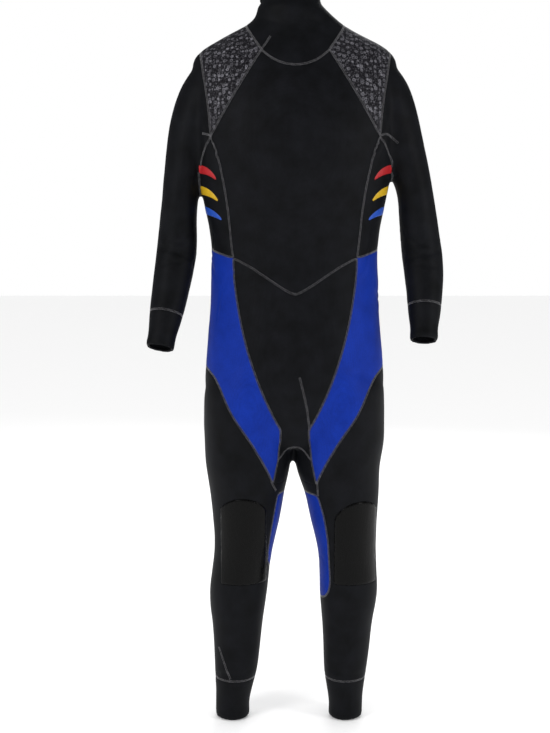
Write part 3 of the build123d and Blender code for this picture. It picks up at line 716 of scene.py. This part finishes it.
def wovenTape(name):
    # Woven polyester zip tape: a diagonal twill, with painted shade in its grooves
    tape = {"twill": 8.8, "slant": 58}  # mm, degrees; a real twill of 0.5 mm is too fine to show
    material, tree, surface, place = newMaterial(name, {
        "Roughness": 0.8, "IOR": 1.5, "Specular IOR Level": 0.25, "Sheen Weight": 0.2,
    })
    slant = addNode(tree, "ShaderNodeMapping", None, {
        "Vector": place, "Rotation": (0, math.radians(tape["slant"]), 0),
    })
    twill = addNode(tree, "ShaderNodeTexWave", {"bands_direction": "X"}, {
        "Vector": slant.outputs["Vector"], "Scale": bandsPerMillimetre(tape["twill"]), "Distortion": 0.6,
    })
    # painted shade: the twill's grooves darker and its ridges lighter, following the same waves as the bump
    shade = addNode(tree, "ShaderNodeMix", {"data_type": "RGBA"}, {
        "Factor": twill.outputs["Fac"], "A": linear("#0d0d0f"), "B": linear("#24242a"),
    })
    bump = addNode(tree, "ShaderNodeBump", None, {
        "Height": twill.outputs["Fac"], "Strength": 0.6, "Distance": 0.0002,
    })
    fill(surface, {"Base Color": shade.outputs["Result"], "Normal": bump.outputs["Normal"]})
    return material


def mouldedPlastic(name, colour, roughness, wear):
    # Injection-moulded acetal: a low even gloss with fine rubbed marks
    material, tree, surface, place = newMaterial(name, {"IOR": 1.48, "Specular IOR Level": 0.5})
    rub = addNode(tree, "ShaderNodeTexNoise", None, {
        "Vector": place, "Scale": perMillimetre(2.2), "Detail": 5.0, "Roughness": 0.65,
    })
    gloss = addNode(tree, "ShaderNodeMapRange", None, {
        "Value": rub.outputs["Fac"], "From Min": 0.3, "From Max": 0.7,
        "To Min": roughness - 0.08, "To Max": roughness + 0.12,
    })
    shade = addNode(tree, "ShaderNodeMix", {"data_type": "RGBA"}, {
        "Factor": rub.outputs["Fac"], "A": linear(colour), "B": linear(wear),
    })
    bump = addNode(tree, "ShaderNodeBump", None, {
        "Height": rub.outputs["Fac"], "Strength": 0.2, "Distance": 0.0001,
    })
    fill(surface, {
        "Roughness": gloss.outputs["Result"],
        "Base Color": shade.outputs["Result"],
        "Normal": bump.outputs["Normal"],
    })
    return material


def hookAndLoop(name):
    # Nylon hook-and-loop: a dense pile of tiny loops, with painted shade in the gaps between them
    material, tree, surface, place = newMaterial(name, {
        "Roughness": 0.9, "IOR": 1.5, "Specular IOR Level": 0.2, "Sheen Weight": 0.5,
    })
    pile = addNode(tree, "ShaderNodeTexVoronoi", {"feature": "F1"}, {
        "Vector": place, "Scale": perMillimetre(1.3), "Randomness": 0.8,  # a real loop is 0.4 mm
    })
    # painted shade: the gaps between the loops darker and the loop tops lighter, following the same cells
    # as the bump
    shade = addNode(tree, "ShaderNodeMix", {"data_type": "RGBA"}, {
        "Factor": pile.outputs["Distance"], "A": linear("#2a2a2d"), "B": linear("#0a0a0b"),
    })
    bump = addNode(tree, "ShaderNodeBump", {"invert": True}, {
        "Height": pile.outputs["Distance"], "Strength": 0.9, "Distance": 0.0006,
    })
    fill(surface, {"Base Color": shade.outputs["Result"], "Normal": bump.outputs["Normal"]})
    return material


def twistedThread(name, colour, shadow):
    # Bonded nylon thread: two plies twisted, with a soft shine along the top
    material, tree, surface, place = newMaterial(name, {
        "Roughness": 0.55, "IOR": 1.53, "Specular IOR Level": 0.45, "Sheen Weight": 0.3,
    })
    ply = addNode(tree, "ShaderNodeTexWave", {"bands_direction": "DIAGONAL"}, {
        "Vector": place, "Scale": bandsPerMillimetre(6.91), "Distortion": 2.0,  # a real twist is 1 mm
    })
    shade = addNode(tree, "ShaderNodeMix", {"data_type": "RGBA"}, {
        "Factor": ply.outputs["Fac"], "A": linear(shadow), "B": linear(colour),
    })
    bump = addNode(tree, "ShaderNodeBump", None, {
        "Height": ply.outputs["Fac"], "Strength": 0.5, "Distance": 0.0001,
    })
    fill(surface, {"Base Color": shade.outputs["Result"], "Normal": bump.outputs["Normal"]})
    return material


finishes = {
    "black_neoprene": jerseyNeoprene("blackJerseyNeoprene", ("#0a0b0d", "#121317")),
    "blue_neoprene": jerseyNeoprene("blueJerseyNeoprene", ("#0a2884", "#0e2e92")),
    "printed_neoprene": printedJersey("printedJerseyNeoprene"),
    "smooth_rubber": smoothSkinRubber("smoothSkinNeoprene"),
    "red_print": screenPrint("redScreenPrint", "#ac1a20", "#8c1218"),
    "yellow_print": screenPrint("yellowScreenPrint", "#c9a51c", "#a88410"),
    "blue_print": screenPrint("blueScreenPrint", "#1f50b4", "#163c92"),
    "zip_tape": wovenTape("wovenPolyesterTape"),
    "zip_plastic": mouldedPlastic("mouldedAcetalTeeth", "#111113", 0.38, "#1d1d20"),
    "zip_slider": mouldedPlastic("mouldedAcetalSlider", "#19191c", 0.3, "#2b2b2f"),
    "hook_and_loop": hookAndLoop("nylonHookAndLoop"),
}
thread = twistedThread("bondedNylonThread", "#454449", "#29282c")


def finish(piece, slotName):
    piece.data.materials.clear()
    piece.data.materials.append(finishes[slotName])


# Panels as separate sheets
zipLow, zipHigh = (corner.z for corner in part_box("left_zip_tape"))
aboveCollar = 0.01


def panelParts():
    parts = {}
    for face in bm.faces:
        parts.setdefault(faceOwner[face], []).append(face)
    for name, faces in sorted(parts.items()):
        number = {}
        for face in faces:
            for v in face.verts:
                number.setdefault(v, len(number))
        yield name, [v.co[:] for v in number], [[number[v] for v in f.verts] for f in faces]


def cutHem(sheet, mount):
    # cuts off the plug and carries the edge on to the real hem, rolled in a little
    at, axis = Vector(mount["pos_m"]), Vector(mount["axis"]).normalized()
    geometry = sheet.verts[:] + sheet.edges[:] + sheet.faces[:]
    cut = bmesh.ops.bisect_plane(
        sheet, geom=geometry, plane_co=at - axis * suit["hemTrim"], plane_no=axis, clear_outer=True,
    )
    for v in {v for v in cut["geom_cut"] if isinstance(v, bmesh.types.BMVert)}:
        outward = v.co - at
        outward -= axis * outward.dot(axis)
        v.co += axis * suit["hemTrim"] - outward.normalized() * suit["hemRoll"]


def openMiddle(sheet, half, low, high):
    # takes a strip out of the middle of the back, between two heights
    middle = suit["middle"]
    planes = [((x, 0, 0), (1, 0, 0)) for x in (middle - half, middle + half)]
    planes += [((0, 0, z), (0, 0, 1)) for z in (low, high)]
    for at, axis in planes:
        near = [f for f in sheet.faces if abs(f.calc_center_median().x - middle) < 0.03]
        near += list({e for f in near for e in f.edges}) + list({v for f in near for v in f.verts})
        bmesh.ops.bisect_plane(sheet, geom=near, plane_co=at, plane_no=axis)
    gone = []
    for face in sheet.faces:
        centre = face.calc_center_median()
        if abs(centre.x - middle) < half and low < centre.z < high and centre.y > 0:
            gone.append(face)
    bmesh.ops.delete(sheet, geom=gone, context="FACES")


hemOf = {"collarPanel": "neck_opening"}
for side in ("left", "right"):
    hemOf[f"{side}WristCuff"] = f"{side}_wrist_opening"
    hemOf[f"{side}AnkleCuff"] = f"{side}_ankle_opening"

for name, points, faces in panelParts():
    facts = pieces[name]
    piece = newPiece(name, points, faces)
    sheet = bmesh.new()
    sheet.from_mesh(piece.data)
    if name in hemOf:
        cutHem(sheet, mounts[hemOf[name]])
    if name.endswith("BackPanel"):
        openMiddle(sheet, suit["windowHalf"], zipLow, zipHigh)
    if name.endswith("BackPanel") or name == "collarPanel":
        openMiddle(sheet, suit["slitHalf"], zipHigh, aboveCollar)
    sheet.to_mesh(piece.data)
    sheet.free()
    thickness = suit["thickness"]
    if name.endswith("Pad"):
        thickness += facts["rise"]
    applied(piece, ("SOLIDIFY", {"thickness": thickness, "offset": -1, "use_even_offset": False}))
    finish(piece, facts["slot"])
    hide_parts(*facts["nodes"])
    if "bend" in facts:
        bendOver(piece, sideOf(name), facts["bend"])
    else:
        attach(piece, facts.get("body", "suit_body"))
bpy.data.objects.remove(skin)
print("panels made")

# Flatlock seams
flatlock = {
    "width": 0.0036,
    "pitch": 0.0034,  # a real stitch of 2 mm is too fine to show
    "edgeThread": 0.00034,
    "crossThread": 0.0003,
    "lift": 0.00025,
}

# Stitched lines that aren't panel edges, as seen from the front: (x, z) points
frontLines = {
    "body": [
        [(-0.058, -0.119), (-0.049, -0.106), (-0.041, -0.093)],
        [(-0.158, -0.286), (-0.166, -0.282), (-0.175, -0.281)],
        [(0.174, -0.286), (0.184, -0.281), (0.194, -0.284), (0.204, -0.293), (0.212, -0.300)],
        [(0.017, -0.761), (0.025, -0.793), (0.032, -0.825), (0.038, -0.873)],
    ],
    "leftLeg": [[(0.054, -0.980), (0.055, -0.997), (0.056, -1.012)]],
    "rightLeg": [
        [(-0.150, -1.350), (-0.142, -1.374), (-0.134, -1.398), (-0.126, -1.417)],
        [(-0.040, -0.980), (-0.035, -0.992), (-0.030, -1.003)],
    ],
}


def evenly(line, spacing, rounds=8):
    # a line smoothed and divided evenly
    points = np.array([tuple(p) for p in line])
    closed = np.linalg.norm(points[0] - points[-1]) < 1e-6
    for _ in range(rounds):
        inner = 0.5 * points[1:-1] + 0.25 * (points[:-2] + points[2:])
        ends = 0.5 * points[0] + 0.25 * (points[1] + points[-2]) if closed else None
        points[1:-1] = inner
        if closed:
            points[0] = points[-1] = ends
    steps = np.linalg.norm(np.diff(points, axis=0), axis=1)
    length = np.concatenate([[0], np.cumsum(steps)])
    marks = np.linspace(0, length[-1], max(3, round(length[-1] / spacing) + 1))
    return np.stack([np.interp(marks, length, points[:, k]) for k in range(3)], 1)


def unit(vectors):
    return vectors / np.maximum(np.linalg.norm(vectors, axis=1), 1e-9)[:, None]


def onSkin(points, lift):
    # each point moved to the skin, and raised a little; with the skin's normal there
    found = [skinTree.find_nearest(Vector(p)) for p in points]
    normals = np.array([f[1][:] for f in found])
    for _ in range(3):
        padded = np.vstack([normals[:1], normals, normals[-1:]])
        normals = unit(padded[:-2] + padded[1:-1] * 2 + padded[2:])
    return np.array([f[0][:] for f in found]) + normals * lift, normals


def tube(path, normals, radii, sides=4):
    # a closed tube along a path, as points and faces
    way = unit(np.gradient(path, axis=0))
    across = unit(np.cross(way, normals))
    above = np.cross(across, way)
    count = len(path)
    angles = [2 * math.pi * (k + 0.5) / sides for k in range(sides)]
    rings = [path + (across * math.cos(a) + above * math.sin(a)) * radii[:, None] for a in angles]
    points = np.stack(rings, 1).reshape(-1, 3)
    faces = [
        (i * sides + k, i * sides + (k + 1) % sides, (i + 1) * sides + (k + 1) % sides, (i + 1) * sides + k)
        for i in range(count - 1) for k in range(sides)
    ]
    faces += [tuple(range(sides))[::-1], tuple((count - 1) * sides + k for k in range(sides))]
    return points, faces


def joined(parts):
    # many meshes as one
    points, faces = [], []
    for somePoints, someFaces in parts:
        start = sum(len(p) for p in points)
        points.append(somePoints)
        faces.extend([start + i for i in face] for face in someFaces)
    return np.vstack(points), faces


def flatlockStitch(line):
    # two edge threads and two that cross between them
    centre, normals = onSkin(evenly(line, flatlock["pitch"] / 2), 0)
    across = unit(np.cross(normals, np.gradient(centre, axis=0)))
    half = flatlock["width"] / 2
    turn = np.where(np.arange(len(centre)) % 2, 1.0, -1.0)
    knots = flatlock["edgeThread"] * (1 + 0.3 * turn)
    even = np.full(len(centre), flatlock["crossThread"])
    for shift, radii in ((half, knots), (-half, knots[::-1]), (turn * half, even), (-turn * half, even)):
        offset = across * (shift[:, None] if isinstance(shift, np.ndarray) else shift)
        path, up = onSkin(centre + offset, flatlock["lift"])
        yield tube(path, up, radii)


def projected(line):
    # points seen from the front, carried back onto the skin
    dense = evenly([(x, 0, z) for x, z in line], 0.002, rounds=0)
    hits = [skinTree.ray_cast(Vector((x, -0.5, z)), Vector((0, 1, 0)))[0] for x, _, z in dense]
    return [h for h in hits if h is not None]


def limbOf(pair):
    # which stitched piece a seam between two panels belongs to
    for name in pair:
        if "Sleeve" in name or "WristCuff" in name:
            return f"{sideOf(name)}Sleeve"
    for name in pair:
        if "Leg" in name or "AnkleCuff" in name:
            return f"{sideOf(name)}Leg"
    return "body"


seams = {}
for pair, line in sewn:
    seams.setdefault(limbOf(pair), []).append(line)
for limb, limbLines in frontLines.items():
    seams[limb] += [projected(line) for line in limbLines]
for limb, limbLines in sorted(seams.items()):
    points, faces = joined([part for line in limbLines for part in flatlockStitch(line)])
    stitching = newPiece(f"{limb}Stitching", points, faces)
    stitching.data.materials.append(thread)
    if limb == "body":
        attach(stitching, "suit_body")
    else:
        bendOver(stitching, sideOf(limb), "elbow" if limb.endswith("Sleeve") else "knee")
    print(limb, "stitching:", len(points), "points")


# Lockstitch rows down the zip
lockstitch = {
    "pitch": 0.0030,
    "dash": 0.0023,
    "thread": 0.00036,
    "rows": (0.0128, 0.0160),  # from the middle of the zip
    "endGap": 0.004,
}


def runningStitch(centre, normals):
    # short dashes along a line that is divided at half the pitch
    for i in range(0, len(centre) - 1, 2):
        way = centre[i + 1] - centre[i]
        way /= max(np.linalg.norm(way), 1e-9)
        reach = lockstitch["dash"] / 2
        steps = np.array([-1.0, -0.6, 0.6, 1.0])
        path = centre[i] + steps[:, None] * reach * way
        path = path + normals[i] * np.array([-0.0003, 0.0002, 0.0002, -0.0003])[:, None]
        radii = lockstitch["thread"] * np.array([0.55, 1.0, 1.0, 0.55])
        yield tube(path, np.tile(normals[i], (4, 1)), radii)


parts = []
for row in lockstitch["rows"]:
    for sign in (-1, 1):
        x = suit["middle"] + sign * row
        heights = np.arange(
            zipLow + lockstitch["endGap"], zipHigh - lockstitch["endGap"], lockstitch["pitch"] / 2,
        )
        hits = [skinTree.ray_cast(Vector((x, 0.5, z)), Vector((0, -1, 0))) for z in heights]
        parts.extend(runningStitch(
            np.array([h[0][:] for h in hits if h[0]]), np.array([h[1][:] for h in hits if h[0]])
        ))
points, faces = joined(parts)
zipStitching = newPiece("zipStitching", points, faces)
zipStitching.data.materials.append(thread)
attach(zipStitching, "suit_body")

# Collar tab and its foot
tab = {
    "corner": 0.0012,
    "steps": 40,
    "rows": 8,
    "round": 0.009,  # length of the rounded end
    "hem": 0.0022,
    "play": 0.0001,
    "bare": 0.05,  # radians without stitches at a strap's ends
    "bareTip": 0.18,
}


def curvedStrap(node, name, rounded):
    # a strap about the collar's axis, with its free end rounded
    points = np.array([v.co[:] for v in nodes[node].data.vertices])
    angles = np.degrees(np.arctan2(points[:, 1], points[:, 0]))
    radii = np.hypot(points[:, 0], points[:, 1])
    start, end, inner, outer = angles.min(), angles.max(), radii.min(), radii.max()
    low, high = points[:, 2].min(), points[:, 2].max()
    middle, half = (low + high) / 2, (high - low) / 2
    radius = (inner + outer) / 2
    grid, faces = [], []
    for i in range(tab["steps"] + 1):
        share = i / tab["steps"]
        angle = math.radians(start + (end - start) * share)
        left = (1 - share) * math.radians(end - start) * radius
        narrow = 1.0
        if rounded and left < tab["round"]:
            narrow = max(math.sqrt(max(1 - (1 - left / tab["round"]) ** 2, 0)), 0.25)
        for j in range(tab["rows"] + 1):
            z = middle + half * narrow * (2 * j / tab["rows"] - 1)
            grid.append((radius * math.cos(angle), radius * math.sin(angle), z))
    row = tab["rows"] + 1
    for i in range(tab["steps"]):
        for j in range(tab["rows"]):
            faces.append((i * row + j, (i + 1) * row + j, (i + 1) * row + j + 1, i * row + j + 1))
    strap = newPiece(name, grid, faces)
    applied(
        strap,
        ("SOLIDIFY", {"thickness": outer - inner - tab["play"], "offset": 0}),
        ("BEVEL", {"width": tab["corner"], "segments": 3, "limit_method": "ANGLE", "angle_limit": 1.0}),
    )
    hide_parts(node)
    finish(strap, "black_neoprene")
    return strap, (math.radians(start), math.radians(end), outer, low, high)


collarTab, (tabStart, tabEnd, tabOuter, tabLow, tabHigh) = curvedStrap("collar_tab", "collarTab", True)
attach(collarTab, "collar_tab_body")
tabFoot, (footStart, footEnd, footOuter, footLow, footHigh) = curvedStrap("tab_foot", "tabFoot", False)
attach(tabFoot, "suit_body")


def strapRows(start, end, radius, low, high):
    # a lockstitch row just inside each long edge of a strap
    parts = []
    for z in (low + tab["hem"], high - tab["hem"]):
        angles = np.arange(start, end, lockstitch["pitch"] / 2 / radius)
        around = np.stack([np.cos(angles), np.sin(angles), 0 * angles], 1)
        parts.extend(runningStitch(around * radius + np.array((0, 0, z)), around))
    return joined(parts)


tabRows = strapRows(tabStart + tab["bare"], tabEnd - tab["bareTip"], tabOuter, tabLow, tabHigh)
footRows = strapRows(footStart + tab["bare"], footEnd - tab["bare"], footOuter, footLow, footHigh)
for name, body, rows in (
    ("collarTabStitching", "collar_tab_body", tabRows),
    ("tabFootStitching", "suit_body", footRows),
):
    stitching = newPiece(name, *rows)
    stitching.data.materials.append(thread)
    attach(stitching, body)

# Flap behind the zip
zipGuard = bpy.data.objects.new("zipGuard", nodes["zip_flap"].data.copy())
scene.collection.objects.link(zipGuard)
applied(zipGuard, ("BEVEL", {"width": 0.0006, "segments": 2, "limit_method": "ANGLE", "angle_limit": 0.8}))
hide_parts("zip_flap")
finish(zipGuard, "black_neoprene")
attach(zipGuard, "suit_body")

# The CAD pieces that stay: zip and patches
kept = {
    "left_zip_tape": "zip_tape", "right_zip_tape": "zip_tape",
    "left_zip_teeth": "zip_plastic", "right_zip_teeth": "zip_plastic", "zip_stops": "zip_plastic",
    "zip_slider": "zip_slider", "zip_pull": "zip_slider",
    "tab_loop_patch": "hook_and_loop", "tab_hook_patch": "hook_and_loop",
}
for node, slotName in kept.items():
    finish(nodes[node], slotName)
    if slotName in ("zip_plastic", "zip_slider"):
        edge = nodes[node].modifiers.new("Edge", "BEVEL")
        edge.width = 0.00025
        edge.segments = 2
        edge.limit_method = "ANGLE"

print("small parts finished")

# Floor, light and camera
studio = {
    "floor": -1.5135,  # just under the ankle hems
    "floorReach": 9,
    "white": "#fbfbfb",
    "daylight": 1.0,
    "dimmed": 0.14,  # what gloss sees of the white walls
    "lamps": [
        # place, aim, width, power
        ((-2.1, -1.9, 0.6), (0.0, 0.0, -0.7), 0.9, 32),
        ((2.4, -1.3, -0.1), (0.05, 0.0, -0.9), 0.6, 22),
        ((0.4, 2.4, 0.4), (0.0, 0.0, -0.7), 1.5, 24),
    ],
    "camera": (-0.032, -2.850, -0.323),
    "tilt": 8.65,  # degrees down
    "lens": 68.27,  # mm
}
reach = studio["floorReach"]
corners = [(-reach, -reach, 0), (reach, -reach, 0), (reach, reach, 0), (-reach, reach, 0)]
floor = newPiece("floor", corners, [(0, 1, 2, 3)])
floor.location.z = studio["floor"]
paint = bpy.data.materials.new("mattWhitePaint")
paint.use_nodes = True
paintShader = paint.node_tree.nodes["Principled BSDF"]
paintShader.inputs["Base Color"].default_value = linear(studio["white"])
paintShader.inputs["Roughness"].default_value = 0.9
floor.data.materials.append(paint)

world = bpy.data.worlds.new("studio")
scene.world = world
world.use_nodes = True
world.cycles.sampling_method = "NONE"  # the walls are even, so gloss can see them dimmed
gloss = addNode(world.node_tree, "ShaderNodeLightPath").outputs["Is Glossy Ray"]
walls = addNode(world.node_tree, "ShaderNodeMapRange", None, {
    "Value": gloss, "To Min": studio["daylight"], "To Max": studio["dimmed"],
})
sky = world.node_tree.nodes["Background"]
sky.inputs["Color"].default_value = (1, 1, 1, 1)
world.node_tree.links.new(walls.outputs["Result"], sky.inputs["Strength"])
for number, (place, aim, width, power) in enumerate(studio["lamps"]):
    data = bpy.data.lights.new(f"softbox{number}", "AREA")
    data.shape = "SQUARE"
    data.size = width
    data.energy = power
    lamp = bpy.data.objects.new(f"softbox{number}", data)
    lamp.location = place
    lamp.rotation_mode = "QUATERNION"
    lamp.rotation_quaternion = (Vector(aim) - Vector(place)).to_track_quat("-Z", "Y")
    scene.collection.objects.link(lamp)

cameraData = bpy.data.cameras.new("camera")
cameraData.lens = studio["lens"]
camera = bpy.data.objects.new("camera", cameraData)
camera.location = studio["camera"]
camera.rotation_euler = (math.radians(90 - studio["tilt"]), 0, 0)
scene.collection.objects.link(camera)
scene.camera = camera
scene.view_settings.view_transform = "Standard"
